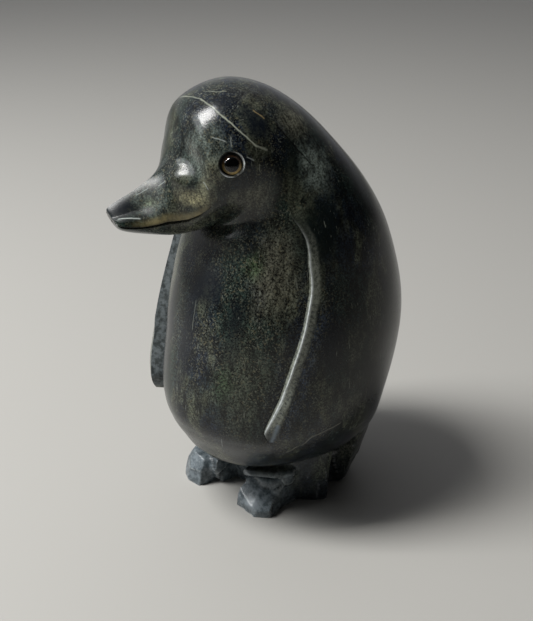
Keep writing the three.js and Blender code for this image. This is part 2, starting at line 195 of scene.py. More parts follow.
# The mouth is a narrow round-bottomed groove, and the beak has a blunt edge above it.
MOUTH_DEPTH, MOUTH_HALF_WIDTH = 0.8, 0.5
mouth_open = smooth((t - MOUTH[0, 0]) / 0.8) * smooth((LAST - t) / 0.3)
mouth_cut = mouth_open * np.exp(-(from_line / MOUTH_HALF_WIDTH) ** 2)
BEAK_EDGE_RISE, BEAK_EDGE_AT, BEAK_EDGE_SPREAD = 0.6, math.radians(38), math.radians(28)
tent = np.clip(1 - np.abs(angle - edge - BEAK_EDGE_AT) / BEAK_EDGE_SPREAD, 0, 1)
BEAK_EDGE_STARTS, BEAK_EDGE_ENDS = 12.0, 13.8
beak_edge = smooth((t - BEAK_EDGE_STARTS) / 0.7) * smooth((BEAK_EDGE_ENDS - t) / 0.35) * tent


def carved(step):
    """How far in the surface lies where the step to the wing has this share of its full depth:
    a share of the depth grows across the chest, the wall goes from it to the wing, and below
    the wing it dies out round the hip. Bevel, mouth and beak edge are added. Also gives the
    distance across the ridge, negative down the wall and over the chest."""
    below = step * depth * (t[:, :1] < WING_BOTTOM)
    top = below * (1 - smooth(WALL_ANGLE / (HIP_ANGLE - edge)))
    sunk = np.concatenate([
        depth * (CHEST_MIDDLE + (step - CHEST_MIDDLE) * chest ** 1.5),
        step * depth + (top - step * depth) * wall,
        below * (1 - smooth((flank_angle - edge) / (HIP_ANGLE - edge))),
    ], 1)
    across = np.concatenate([
        -step * depth - edge * (1 - chest) * half_width,
        -step * depth * (1 - wall),
        (flank_angle - outer) * half_width,
    ], 1)
    return sunk + BEVEL_DEPTH * bevel + MOUTH_DEPTH * mouth_cut - BEAK_EDGE_RISE * beak_edge, across


def mesh_of_skin(name, rows, first, last, **marks):
    """Closes rows of points (r, c, 3) into one skin, with a pole before the first row and one
    after the last: quads run round each pair of rows and triangles fan to the poles. Each mark
    is a number for every point, kept on the face corners."""
    r, c, _ = rows.shape
    index = np.arange(r * c).reshape(r, c)
    following = np.roll(index, -1, 1)
    quads = np.stack([index[:-1], following[:-1], following[1:], index[1:]], -1).reshape(-1, 4)
    under = np.stack([np.full(c, r * c), following[0], index[0]], -1)
    over = np.stack([index[-1], following[-1], np.full(c, r * c + 1)], -1)
    points = np.concatenate([rows.reshape(-1, 3), [first, last]]) * MM
    mesh = bpy.data.meshes.new(name)
    mesh.from_pydata(points, [], quads.tolist() + under.tolist() + over.tolist())
    corner = np.zeros(len(mesh.loops), int)
    mesh.loops.foreach_get("vertex_index", corner)
    for label, values in marks.items():
        values = np.broadcast_to(values, (r, c))
        flat = np.concatenate([values.ravel(), [values[0].mean(), values[-1].mean()]])
        kept = mesh.attributes.new(label, "FLOAT", "CORNER")
        kept.data.foreach_set("value", flat[corner].astype(np.float32))
    mesh.update()
    return mesh


def both_sides(left, right):
    """Puts the bird's left half and the mirrored order of its right half into closed rows."""
    return np.concatenate([left, right[:, 1:-1][:, ::-1]], 1)


# The whole skin lies a hair inside the plain form, and grinding by hand left it uneven.
UNEVEN, SKIN, LONGEST_WAVE, SHORTEST_WAVE = 0.25, 0.07, 42, 16
ridge_here = smooth((t - WING_BOTTOM) / 0.12) * smooth((6.6 - t) / 1.5)
halves, wears, walls = [], [], []
from_tip = smooth((t[:, :1] - WING_BOTTOM) / STEP_GROWS_OVER)
for side, step in ((1.0, STEP_AT_TIP + (STEP_LEFT - STEP_AT_TIP) * from_tip), (-1.0, STEP_RIGHT)):
    sunk, across_ridge = carved(step)
    plain = stone_point(t, angle, side, sunk)
    worked = sunk + SKIN + UNEVEN * (0.5 + 0.5 * waves(plain, LONGEST_WAVE, SHORTEST_WAVE, 7))
    halves.append(stone_point(t, angle, side, worked))
    # Chalky wear runs along the left wing's ridge, painted brighter as a glint of light; on the right it
    #     # lies at the wall's foot.
    line = across_ridge if side > 0 else across_ridge + step * depth
    force = 0.7 + 0.3 * smooth((5.6 - t) / 1.0) if side > 0 else 0.4
    above_tip = smooth((t - 2.85) / 0.3)
    wears.append(ridge_here * above_tip * force * np.exp(-(line / 0.5) ** 2) * (depth > 0.3))
    on_wall = (across_ridge < 0.3) & (across_ridge > -step * depth - 0.3)
    walls.append(ridge_here * on_wall * (side < 0))
body_rows = both_sides(*halves)

# Two small forms: the fold where the beak springs from the forehead, a bell times the height
# above its middle, and the filled throat, a bell alone. Both move the skin along its normals.
FOLD_AT, FOLD_UP, FOLD_SIZE, FOLD_DEPTH = (-4.2, -39.0, 147.8), (0.336, 0.157, 0.929), 4.2, 3.0
THROAT_AT, THROAT_SIZE, THROAT_FILL = (5, -26, 121), (10, 6, 4.5), 1.8


def outward_of(rows):
    """Unit normals of the skin: cross products of the steps round and up the rows."""
    up = np.gradient(rows, axis=0)
    around = np.roll(rows, -1, 1) - np.roll(rows, 1, 1)
    normal = np.cross(around, up)
    return normal / np.maximum(np.linalg.norm(normal, axis=-1, keepdims=True), 1e-9)


off = body_rows - np.array(FOLD_AT)
from_fold = (off @ np.array(FOLD_UP)) / FOLD_SIZE
fold = -FOLD_DEPTH * from_fold * np.exp(-(off ** 2).sum(-1) / 2 / FOLD_SIZE ** 2)
off = (body_rows - np.array(THROAT_AT)) / np.array(THROAT_SIZE)
fill = THROAT_FILL * np.exp(-(off ** 2).sum(-1) / 2)
body_rows = body_rows + (fold + fill)[..., None] * outward_of(body_rows)
body_rows = np.clip(body_rows, np.array(cad_low) / MM, np.array(cad_high) / MM)

# Marks for the finish: the ochre stain above the mouth and a painted shade in its groove, a painted sheen
# on the strip rubbed along the wing's edge, the blue-black band behind that strip, and the beak's dull
# upper side.
stain = smooth((from_line - 0.1) / 0.7) * smooth((5.0 - from_line) / 3.6)
stain = mouth_open * stain * smooth((12.9 - t) / 1.2)
groove = mouth_open * np.exp(-(from_line / 0.6) ** 2)
lip = smooth((t - 2.75) / 0.5) * smooth((6.6 - t) / 1.5) * (from_line > 0.1)
lip = lip * smooth((bevel_width * 1.25 - from_line) / 1.8)
blue = smooth((from_line - bevel_width) / 1.0) * smooth((bevel_width + 6.5 - from_line) / 3.5)
blue = blue * smooth((t - WING_BOTTOM - 0.15) / 0.3) * smooth((5.1 - t) / 0.8)
dull = smooth((from_line - 3.2 + 3.5 * smooth((12.6 - t) / 0.8)) / 1.5) * smooth((t - 10.9) / 0.8)
pole_low = stone_point(np.array([0.0]), np.array([math.pi / 2]), 1.0, np.array([0.0]))[0]
body_mesh = mesh_of_skin(
    "stone_bird", body_rows, pole_low, body_rows[-1].mean(0),
    wear=both_sides(*wears),
    raw=both_sides(*walls),
    stain=both_sides(stain, stain),
    groove=both_sides(groove, groove),
    lip=both_sides(lip, lip),
    blue=both_sides(blue, blue),
    dull=both_sides(dull, dull),
)
bird = bpy.data.objects.new("stone_bird", body_mesh)
bpy.context.scene.collection.objects.link(bird)

# ---- The legs, the tail and the feet --------------------------------------------------------
# Left from the same block under the belly, cut with a chisel and hardly polished. Each foot is
# a few flat-faced lumps; the tail behind reaches the ground and carries weight with the heels.

# Half outlines of the block on the ground and inside the body: across, forward.
BLOCK_HEIGHT, BLOCK_FLARE, BLOCK_ROWS, STEPS_PER_POINT = 46, 0.75, 24, 8
ON_GROUND = np.array([
    [0, 7], [12, 8], [22, 3], [30, -4], [32, -8],
    [28.5, -16], [27, -24.5], [21.5, -33], [10, -39], [0, -40],
], float)
IN_BODY = np.array([
    [0, 10], [12, 10], [24, 6], [32, -1], [36, -9],
    [39, -20], [38.5, -33], [31.5, -44.2], [17.5, -53.2], [0, -56.8],
], float)
HOLLOW_MIDDLE, HOLLOW_RADII = (38, -15.5, 8), (14, 8.5, 26)

# Corners of the lumps: across, forward, height.
LEFT_TOES = [
    [7.5, 22.2, 0], [19.5, 23.6, 0], [24.5, 19.5, 0], [23.4, 11, 0], [8, 9, 0], [8, 22, 4], [17, 23.2, 3],
    [19.5, 23, 3.5], [24, 19.5, 3.5], [23.2, 11, 4], [7.8, 20.3, 8.2], [15.9, 17.8, 8], [22.3, 12.6, 5.5],
    [8, 12, 9], [20, 9, 9],
]
RIGHT_TOES = [
    [13.7, 24.2, 0], [20.5, 24.7, 0], [25.8, 21.8, 0], [27, 10, 0], [11, 9, 0], [12.5, 20.5, 0],
    [14, 23, 7.5], [20, 23.2, 7.5], [25, 20.5, 7], [11.8, 18.5, 8], [14.5, 20, 11], [20, 20, 12],
    [24, 17, 12], [12, 12, 11], [26, 9, 13],
]
INSTEP = [
    [8.5, 15, 0], [22, 15, 0], [24, 3, 0], [7, 6, 0], [9, 19.2, 8], [15.5, 17.2, 8], [21.5, 12.3, 7],
    [9, 18.3, 12.5], [15.5, 15.4, 12.5], [21.5, 11.5, 12.5], [24, 6, 14], [7, 8, 14], [24.5, 1, 16],
    [7, 3, 16],
]
ANKLE_LEDGE = [
    [8, 19.5, 14.3], [12.5, 18.6, 14.3], [20.5, 12.8, 14.3], [25.5, 6, 14.3], [25.5, 0, 14.3],
    [7, 0, 14.3], [8.5, 19, 17], [12.5, 18, 17.3], [20, 12.5, 17.3], [25, 6, 17.3], [25, 0, 17.3],
    [7, 0, 17.3],
]


def closed_outline(half, steps):
    """Closed Catmull-Rom curve through a half outline and its mirror image, with the same sum of
    four neighbouring points as above."""
    points = np.concatenate([half, half[1:-1][::-1] * [-1, 1]])
    n = len(points)
    u = np.arange(n * steps) / steps
    i = np.floor(u).astype(int)
    s = (u - i)[:, None]
    a, b, c, d = points[(i - 1) % n], points[i % n], points[(i + 1) % n], points[(i + 2) % n]
    return 0.5 * (2 * b + s * ((c - a) + s * ((2 * a - 5 * b + 4 * c - d) + s * (3 * b - a - 3 * c + d))))


def place(across, forward, height):
    """Across, forward and height from the body's own axis to a point in the object's frame."""
    return np.stack([across + AXIS_ACROSS, -forward - AXIS_FORWARD, height], -1)


def convex_lump(corners, side):
    """The smallest convex solid that holds the corners."""
    across, forward, height = np.array(corners, float).T
    shape = bmesh.new()
    for point in place(side * across, forward, height) * MM:
        shape.verts.new(point)
    bmesh.ops.convex_hull(shape, input=shape.verts)
    bmesh.ops.delete(shape, geom=[v for v in shape.verts if not v.link_faces], context="VERTS")
    bmesh.ops.recalc_face_normals(shape, faces=shape.faces)
    mesh = bpy.data.meshes.new("lump")
    shape.to_mesh(mesh)
    shape.free()
    return mesh


def finished(piece):
    """The piece's mesh with its modifiers worked into it."""
    whole = bpy.data.meshes.new_from_object(piece.evaluated_get(bpy.context.evaluated_depsgraph_get()))
    piece.modifiers.clear()
    piece.data = whole
    return whole


def cut(target, tool_mesh, operation):
    """Joins a solid to the target or cuts it away, and drops the tool."""
    tool = bpy.data.objects.new("tool", tool_mesh)
    bpy.context.scene.collection.objects.link(tool)
    step = target.modifiers.new("cut", "BOOLEAN")
    step.operation, step.solver, step.object = operation, "MANIFOLD", tool
    finished(target)
    bpy.data.objects.remove(tool)


# The block flares downwards: its outline goes from ground to body by a power of the height.
rise = np.linspace(0, 1, BLOCK_ROWS)[:, None]
ground = closed_outline(ON_GROUND, STEPS_PER_POINT)[None]
top = closed_outline(IN_BODY, STEPS_PER_POINT)[None]
ring = ground + (top - ground) * rise[..., None] ** BLOCK_FLARE
block_rows = place(ring[..., 0], ring[..., 1], np.broadcast_to(rise * BLOCK_HEIGHT, ring.shape[:2]))
block = mesh_of_skin("legs", block_rows, block_rows[0].mean(0), block_rows[-1].mean(0))
legs = bpy.data.objects.new("legs", block)
bpy.context.scene.collection.objects.link(legs)
for side, toes in ((1, LEFT_TOES), (-1, RIGHT_TOES)):
    for corners in (toes, INSTEP, ANKLE_LEDGE):
        cut(legs, convex_lump(corners, side), "UNION")

# The hollow between heel and tail is an ellipsoid: latitude and longitude on a unit ball,
# stretched to its radii.
lat = np.linspace(-np.pi / 2, np.pi / 2, 50)[1:-1, None]
lon = np.linspace(0, 2 * np.pi, 72, endpoint=False)[None]
ball = np.stack([np.cos(lat) * np.cos(lon), np.cos(lat) * np.sin(lon), np.sin(lat) + 0 * lon], -1)
for side in (1, -1):
    across, forward, height = HOLLOW_MIDDLE
    middle = place(side * across, forward, height)
    scoop = ball * HOLLOW_RADII + middle
    up = np.array([0, 0, HOLLOW_RADII[2]])
    cut(legs, mesh_of_skin("scoop", scoop, middle - up, middle + up), "DIFFERENCE")
    cut(bird, mesh_of_skin("scoop", scoop, middle - up, middle + up, raw=0.6), "DIFFERENCE")

# The joined lumps get an even mesh whose corners are rubbed round, and then the chisel's
# flats: every point moves into the plane of its nearest cut, by no more than the cut's depth.
GRAIN_STEP, RUB_PASSES, CUT_COUNT, CUT_DEPTH = 0.65, 3, 110, 0.7
even = legs.modifiers.new("even", "REMESH")
even.mode, even.voxel_size = "VOXEL", GRAIN_STEP * MM
legs_mesh = finished(legs)
points = np.zeros(len(legs_mesh.vertices) * 3)
legs_mesh.vertices.foreach_get("co", points)
points = points.reshape(-1, 3) / MM
ends = np.zeros(len(legs_mesh.edges) * 2, int)
legs_mesh.edges.foreach_get("vertices", ends)
ends = ends.reshape(-1, 2)


def middle_of_neighbours(values):
    """Mean of each vertex's neighbours along the edges."""
    total, count = np.zeros_like(values), np.zeros(len(values))
    for a, b in ((0, 1), (1, 0)):
        np.add.at(total, ends[:, a], values[ends[:, b]])
        np.add.at(count, ends[:, a], 1)
    return total / np.maximum(count, 1)[:, None]


off_ground = smooth((points[:, 2:] - 0.6) / 1.5)
for _ in range(RUB_PASSES):
    points = points + 0.6 * off_ground * (middle_of_neighbours(points) - points)
legs_mesh.vertices.foreach_set("co", (points * MM).ravel())
legs_mesh.update()
normals = np.zeros(len(legs_mesh.vertices) * 3)
legs_mesh.vertices.foreach_get("normal", normals)
normals = normals.reshape(-1, 3)
outside = np.flatnonzero((points[:, 2] > 1.5) & (points[:, 2] < 40))
cuts = np.random.default_rng(3).choice(outside, CUT_COUNT, replace=False)
reach = (points ** 2).sum(1)[:, None] - 2 * points @ points[cuts].T + (points[cuts] ** 2).sum(1)[None]
nearest = cuts[reach.argmin(1)]
proud = ((points - points[nearest]) * normals[nearest]).sum(1)
flat_cut = points - normals[nearest] * np.clip(proud, -CUT_DEPTH, CUT_DEPTH)[:, None]
points = points + (flat_cut - points) * off_ground * (0.35 + 0.65 * smooth((18 - points[:, 2:]) / 6))
points = points + 0.5 * off_ground * (middle_of_neighbours(points) - points)
points[:, 2] = np.where(points[:, 2] < 0.4, 0, points[:, 2])
legs_mesh.vertices.foreach_set("co", (points * MM).ravel())
legs_mesh.update()

# Marks for the finish: the front of the feet is left from the chisel, corners are worn, and hollows are
# darkened with painted shade. Sharpness is how far a point stands out of the middle of its neighbours.
proud = ((points - middle_of_neighbours(points)) * normals).sum(1)
corner = np.zeros(len(legs_mesh.loops), int)
legs_mesh.loops.foreach_get("vertex_index", corner)
for name, values in (
    ("chisel", 0.15 + 0.85 * smooth((-points[:, 1] - 4) / 8) * smooth((20 - points[:, 2]) / 6)),
    ("wear", 0.28 * smooth((proud - 0.035) / 0.09)),
    ("groove", 0.8 * smooth((-proud - 0.035) / 0.1)),
):
    kept = legs_mesh.attributes.new(name, "FLOAT", "CORNER")
    kept.data.foreach_set("value", values[corner].astype(np.float32))
cut(bird, legs_mesh.copy(), "UNION")
bpy.data.objects.remove(legs)

# ---- The eye sockets ------------------------------------------------------------------------
# Two flat-bottomed holes drilled into the sides of the head, with flared rims. The rims are white from the
# drill low down and behind, with a painted glint of light there; a painted shadow lies on them above and
# in front, and painted shade fills the holes.

EYE_STATION, EYE_ANGLE = 8.6, math.radians(97.4)
EYE_RADIUS, EYE_DOME, EYE_WALL, EYE_SUNK, EYE_GAP = 3.9, 2.7, 1.2, 2.0, 0.3
EYE_FLOOR = -(EYE_SUNK + EYE_WALL)
SOCKET_RIM_RADIUS, SOCKET_FLARE_DEPTH = 5.1, 1.6


def eye_place(side):
    """Middle of the eye on the head and the direction out of it, which is the cross product of
    the surface's two tangents there."""
    step = 0.02
    t = EYE_STATION + np.array([0, step, 0])
    angle = EYE_ANGLE + np.array([0, 0, step])
    middle, ahead, around = stone_point(t, angle, float(side), np.zeros(3))
    outward = np.cross(around - middle, ahead - middle) * side
    return middle, outward / np.linalg.norm(outward)


def turned(name, profile, side, count=72, low_back=0.0, **marks):
    """Surface of revolution about the eye's axis, moved low and back by low_back: each (radius,
    height) of the profile goes round at height along the axis, and poles close it at both ends.
    A mark is one value a ring, or a pair: the ring's value low and back, and up and forward."""
    middle, outward = eye_place(side)
    u = np.cross(outward, [0, 0, 1])
    u /= np.linalg.norm(u)
    v = np.cross(outward, u)
    middle = middle - low_back * (side * u - v) / math.sqrt(2)
    turn = np.linspace(0, 2 * np.pi, count, endpoint=False)[None, :, None]
    radius, height = np.array(profile, float)[1:-1].T[..., None, None]
    rows = middle + height * outward + radius * (np.cos(turn) * u + np.sin(turn) * v)
    poles = [middle + outward * profile[i][1] for i in (0, -1)]
    up_forward = smooth(((side * np.cos(turn) - np.sin(turn))[0, :, 0] / math.sqrt(2) - 0.1) / 0.7)
    for mark_name, values in marks.items():
        low, high = np.broadcast_to(np.array(values, float).T, (2, len(rows)))[..., None]
        marks[mark_name] = np.broadcast_to(low + (high - low) * up_forward, rows.shape[:2])
    return mesh_of_skin(name, rows, *poles, **marks)


bore = EYE_RADIUS + EYE_GAP
socket_profile = [
    (0, EYE_FLOOR - EYE_GAP), (bore * 0.5, EYE_FLOOR - EYE_GAP), (bore, EYE_FLOOR - EYE_GAP),
    (bore, -2.4), (bore, -SOCKET_FLARE_DEPTH), (4.4, -1.0), (4.7, -0.5), (SOCKET_RIM_RADIUS, 0.05),
    (5.8, 0.7), (7.0, 2.4), (7.0, 5), (0, 5),
]
# Pale rim low and behind: drilled chalk with a painted glint. Dark: painted shade in the hole and a
# painted shadow on the rim above and in front.
socket_wear = [(0, 0), (0, 0), (0, 0), (0.2, 0), (0.8, 0), (1, 0), (1, 0.1), (0.6, 0.2), (0, 0), (0, 0)]
socket_shade = [(1, 1), (1, 1), (1, 1), (0.6, 1), (0.1, 1), (0, 0.9), (0, 0.2), (0, 0), (0, 0), (0, 0)]
for side in (1, -1):
    drill = turned("socket", socket_profile, side, wear=socket_wear, groove=socket_shade, raw=0.5)
    cut(bird, drill, "DIFFERENCE")

bird.data.name = "stone_bird"
bird.data.shade_smooth()
bird.data.set_sharp_from_angle(angle=math.radians(32))

# ---- The stone's finish ---------------------------------------------------------------------
# Green-black serpentine soapstone: dark clouds, fine olive grain, a pale vein and hair cracks,
# under a waxed polish. Chisel-cut places are matt and blue-grey, and worn edges are chalky.
# Painted shade lies in the hollows and under the chin, and painted glints and sheen on a few edges and
# facets.


def feed(tree, socket, value):
    """Links a socket to the input, or sets the input's own value."""
    if isinstance(value, bpy.types.NodeSocket):
        tree.links.new(value, socket)
    elif isinstance(value, tuple) and len(value) == 3 and len(socket.default_value) == 4:
        socket.default_value = (*value, 1)
    else:
        socket.default_value = value


def maths(tree, operation, *values):
    """One step of arithmetic on values or sockets."""
    step = tree.nodes.new("ShaderNodeMath")
    step.operation = operation
    for i, value in enumerate(values):
        feed(tree, step.inputs[i], value)
    return step.outputs[0]


def ramp(tree, value, start, end, low=0.0, high=1.0):
    """Goes smoothly from low to high as the value goes from start to end."""
    step = tree.nodes.new("ShaderNodeMapRange")
    step.interpolation_type = "SMOOTHSTEP"
    limits = {"Value": value, "From Min": start, "From Max": end, "To Min": low, "To Max": high}
    for name, number in limits.items():
        feed(tree, step.inputs[name], number)
    return step.outputs[0]


def blend(tree, share, under, over):
    """The under colour with a share of the over colour laid on it."""
    step = tree.nodes.new("ShaderNodeMix")
    step.data_type = "RGBA"
    feed(tree, step.inputs[0], share)
    feed(tree, step.inputs[6], under)
    feed(tree, step.inputs[7], over)
    return step.outputs[2]


def vector(tree, operation, a, b=None):
    """One step of vector arithmetic; length and dot product come out as a number."""
    step = tree.nodes.new("ShaderNodeVectorMath")
    step.operation = operation
    feed(tree, step.inputs[0], a)
    if b is not None:
        feed(tree, step.inputs[3 if operation == "SCALE" else 1], b)
    return step.outputs[1 if operation in ("LENGTH", "DOT_PRODUCT") else 0]


def noise(tree, where, scale, detail=2.0, roughness=0.5):
    """Fractal noise from 0 to 1, with scale in features a metre."""
    step = tree.nodes.new("ShaderNodeTexNoise")
    for name, value in {"Vector": where, "Scale": scale, "Detail": detail, "Roughness": roughness}.items():
        feed(tree, step.inputs[name], value)
    return step.outputs[0]


def mark(tree, name):
    """A number kept on the mesh."""
    step = tree.nodes.new("ShaderNodeAttribute")
    step.attribute_name = name
    return step.outputs["Fac"]


def new_group(name, inputs, output):
    """An empty node group with the named inputs and one output; gives the group, its input
    sockets by name, and its output socket."""
    group = bpy.data.node_groups.new(name, "ShaderNodeTree")
    for label, kind in inputs:
        group.interface.new_socket(label, in_out="INPUT", socket_type=kind)
    group.interface.new_socket(output, in_out="OUTPUT", socket_type="NodeSocketFloat")
    source, sink = group.nodes.new("NodeGroupInput"), group.nodes.new("NodeGroupOutput")
    return group, {label: source.outputs[label] for label, _ in inputs}, sink.inputs[output]


def use(tree, group, **values):
    """Places a group with its own values and gives its output."""
    step = tree.nodes.new("ShaderNodeGroup")
    step.node_tree = group
    for name, value in values.items():
        feed(tree, step.inputs[name], value)
    return step.outputs[0]


# Cloud: 1 inside an ellipsoid and 0 outside, with a soft edge torn by noise.
cloud, given, answer = new_group("cloud", [
    ("Where", "NodeSocketVector"), ("Middle", "NodeSocketVector"), ("Size", "NodeSocketVector"),
    ("Torn", "NodeSocketFloat"), ("Soft", "NodeSocketFloat"),
], "Mask")
from_middle = vector(cloud, "SUBTRACT", given["Where"], given["Middle"])
shifted = vector(cloud, "DIVIDE", from_middle, given["Size"])
uneven = maths(cloud, "SUBTRACT", noise(cloud, given["Where"], 90, 4, 0.6), 0.5)
tear = maths(cloud, "MULTIPLY", uneven, given["Torn"])
distance = maths(cloud, "ADD", vector(cloud, "LENGTH", shifted), tear)
cloud.links.new(ramp(cloud, distance, 1.0, maths(cloud, "SUBTRACT", 1.0, given["Soft"])), answer)

# Streak: a thin wavering line on the surface about a middle point. Along is the line's
# direction over its half length, Facing points across it, and Outward away from the stone.
streak, given, answer = new_group("streak", [
    ("Where", "NodeSocketVector"), ("Middle", "NodeSocketVector"), ("Along", "NodeSocketVector"),
    ("Facing", "NodeSocketVector"), ("Outward", "NodeSocketVector"), ("Width", "NodeSocketFloat"),
    ("Waver", "NodeSocketFloat"),
], "Mask")
off = vector(streak, "SUBTRACT", given["Where"], given["Middle"])
uneven = maths(streak, "SUBTRACT", noise(streak, given["Where"], 260, 3, 0.6), 0.5)
sway = maths(streak, "MULTIPLY", uneven, given["Waver"])
aside = maths(streak, "ADD", vector(streak, "DOT_PRODUCT", off, given["Facing"]), sway)
line_here = ramp(streak, maths(streak, "ABSOLUTE", aside), given["Width"], 0.0)
run = maths(streak, "ABSOLUTE", vector(streak, "DOT_PRODUCT", off, given["Along"]))
within = ramp(streak, run, 1.12, 0.88)
near_side = ramp(streak, vector(streak, "DOT_PRODUCT", off, given["Outward"]), -0.006, -0.004)
on_line = maths(streak, "MULTIPLY", line_here, within)
streak.links.new(maths(streak, "MULTIPLY", on_line, near_side), answer)

# The colours that the stone runs through.
DARK_GREEN = (0.0070, 0.0120, 0.0100)
BLUE_BLACK = (0.0050, 0.0075, 0.0120)
OLIVE = (0.033, 0.037, 0.026)
BROWN = (0.047, 0.046, 0.034)
GREY_GREEN = (0.060, 0.072, 0.064)
GREEN = (0.020, 0.038, 0.014)

stone = bpy.data.materials.new("waxed_soapstone")
stone.use_nodes = True
tree = stone.node_tree
shader = tree.nodes["Principled BSDF"]
where = tree.nodes.new("ShaderNodeTexCoord").outputs["Object"]
tall = vector(tree, "MULTIPLY", where, (1.0, 1.0, 0.45))

colour = blend(tree, ramp(tree, noise(tree, tall, 45, 3), 0.42, 0.6), DARK_GREEN, BLUE_BLACK)
colour = blend(tree, ramp(tree, noise(tree, tall, 70, 4, 0.62), 0.5, 0.62), colour, OLIVE)

# Clouds in the stone: middle and size in millimetres, tearing, softness, strength, colour.
CLOUDS = [
    ((27, -22, 110), (13, 14, 30), 0.9, 0.8, 0.85, BROWN),
    ((22, -36, 66), (18, 14, 34), 1.2, 0.9, 0.6, OLIVE),
    ((20, -27, 114), (6, 8, 9), 1.0, 1.0, 0.6, GREEN),
    ((17, -40, 68), (6, 9, 10), 1.2, 1.0, 0.4, GREEN),
    ((46, -5, 102), (9, 9, 18), 0.9, 0.7, 0.9, DARK_GREEN),
    ((36, 24, 24), (16, 26, 22), 0.8, 0.9, 0.8, BROWN),
    ((8, -16, 172), (14, 9, 7), 1.0, 0.9, 0.3, BROWN),
    ((19, -4, 164), (12, 11, 10), 0.9, 0.8, 0.85, (0.07, 0.07, 0.052)),
    ((28, -4, 148), (10, 10, 15), 0.7, 0.8, 0.95, (0.075, 0.09, 0.08)),
    ((12, 10, 172), (16, 16, 10), 0.9, 0.8, 0.6, BROWN),
    ((18, -26, 138), (11, 10, 10), 0.9, 0.9, 0.95, (0.058, 0.060, 0.045)),
    ((4, -37, 155), (14, 12, 17), 0.7, 0.8, 0.95, GREY_GREEN),
    ((9, -37, 149), (6, 6, 9), 0.9, 0.9, 0.5, (0.10, 0.095, 0.055)),
    ((1.5, -39.5, 138), (11, 7, 5), 0.9, 0.9, 0.9, (0.24, 0.225, 0.13)),
    ((6, -38, 142), (5, 6, 6), 0.9, 0.9, 0.7, (0.16, 0.16, 0.10)),
    ((-15, -47, 136), (13, 10, 8), 1.0, 0.8, 0.75, GREY_GREEN),
    ((-14, -46, 134.5), (4, 6, 3), 1.0, 1.0, 0.5, (0.10, 0.12, 0.07)),
]


def clouded(colour, clouds):
    """The colour with each cloud of the list laid over it in turn."""
    for middle, size, torn, soft, strength, tint in clouds:
        middle, size = tuple(v * MM for v in middle), tuple(v * MM for v in size)
        mask = use(tree, cloud, Where=where, Middle=middle, Size=size, Torn=torn, Soft=soft)
        colour = blend(tree, maths(tree, "MULTIPLY", mask, strength), colour, tint)
    return colour


colour = clouded(colour, CLOUDS)

# Behind the strip rubbed along the wing's edge lies a blue-black band.
colour = blend(tree, maths(tree, "MULTIPLY", mark(tree, "blue"), 0.75), colour, (0.018, 0.025, 0.036))

# Grain: light and dark flecks under a millimetre across, with olive and golden ones in places.
height_up = tree.nodes.new("ShaderNodeSeparateXYZ")
tree.links.new(where, height_up.inputs[0])
on_body = ramp(tree, height_up.outputs[2], 0.138, 0.118)
in_front = ramp(tree, height_up.outputs[1], 0.0, -0.02, 0.3, 1.0)
flecks = noise(tree, where, 1250, 4, 0.75)
strong = maths(tree, "MULTIPLY", ramp(tree, flecks, 0.38, 0.64, 0.15, 2.6), on_body)
on_head = maths(tree, "SUBTRACT", 1.0, on_body)
gentle = maths(tree, "MULTIPLY", ramp(tree, flecks, 0.36, 0.64, 0.32, 1.9), on_head)
colour = vector(tree, "SCALE", colour, ramp(tree, noise(tree, tall, 330, 4, 0.65), 0.36, 0.64, 0.45, 1.7))
colour = vector(tree, "SCALE", colour, maths(tree, "ADD", strong, gentle))
patches = ramp(tree, noise(tree, tall, 80, 3, 0.6), 0.35, 0.65, 0.25, 1.0)
patches = maths(tree, "MULTIPLY", patches, in_front)
specks = maths(tree, "MULTIPLY", ramp(tree, noise(tree, where, 1500, 2, 0.7), 0.54, 0.68), patches)
gold_specks = maths(tree, "MULTIPLY", ramp(tree, noise(tree, where, 1000, 1, 0.6), 0.6, 0.7), patches)
colour = blend(tree, maths(tree, "MULTIPLY", specks, 0.7), colour, (0.17, 0.18, 0.14))
colour = blend(tree, maths(tree, "MULTIPLY", gold_specks, 0.5), colour, (0.155, 0.14, 0.085))

# Dark clouds lie over the grain, which hardly shows in them.
colour = clouded(colour, [
    ((3, -36, 103), (11, 10, 12), 0.8, 0.6, 0.8, BLUE_BLACK),
    ((-2, -41, 80), (5, 14, 44), 0.8, 0.6, 0.7, BLUE_BLACK),
    ((-18, -39, 78), (8, 12, 40), 0.6, 0.7, 0.8, BLUE_BLACK),
    ((18, -37, 92), (6, 10, 26), 1.2, 0.9, 0.5, BLUE_BLACK),
    ((36, -9, 124), (10, 11, 22), 0.8, 0.6, 0.8, (0.004, 0.007, 0.006)),
    ((46, -12, 84), (6, 8, 20), 1.0, 0.8, 0.7, BLUE_BLACK),
    ((50, 14, 70), (16, 40, 44), 0.5, 0.9, 0.65, (0.005, 0.006, 0.004)),
    ((25, -13, 152), (6, 6, 14), 0.8, 0.7, 0.6, DARK_GREEN),
    ((15, -21, 165), (9, 7, 9), 0.7, 0.7, 0.8, BLUE_BLACK),
    ((6, -24, 170), (12, 6, 5), 0.7, 0.9, 0.6, BLUE_BLACK),
    # Painted shade: a wide dark band under the chin, where the head shades the throat.
    ((-2, -22, 117), (24, 14, 5), 0.5, 0.8, 0.8, (0.009, 0.008, 0.006)),
    ((-20, -57, 134), (9, 9, 7), 0.8, 0.8, 0.92, BLUE_BLACK),
    ((18, -28, 144), (3.5, 4, 3.5), 1.0, 0.9, 0.7, BLUE_BLACK),
])

# The strip rubbed along the wing's edge is painted paler, a painted sheen of the light falling on it,
# with the grain showing through.
through = ramp(tree, noise(tree, where, 900, 4, 0.75), 0.36, 0.62, 0.2, 0.95)
colour = blend(tree, maths(tree, "MULTIPLY", mark(tree, "lip"), through), colour, (0.23, 0.245, 0.205))

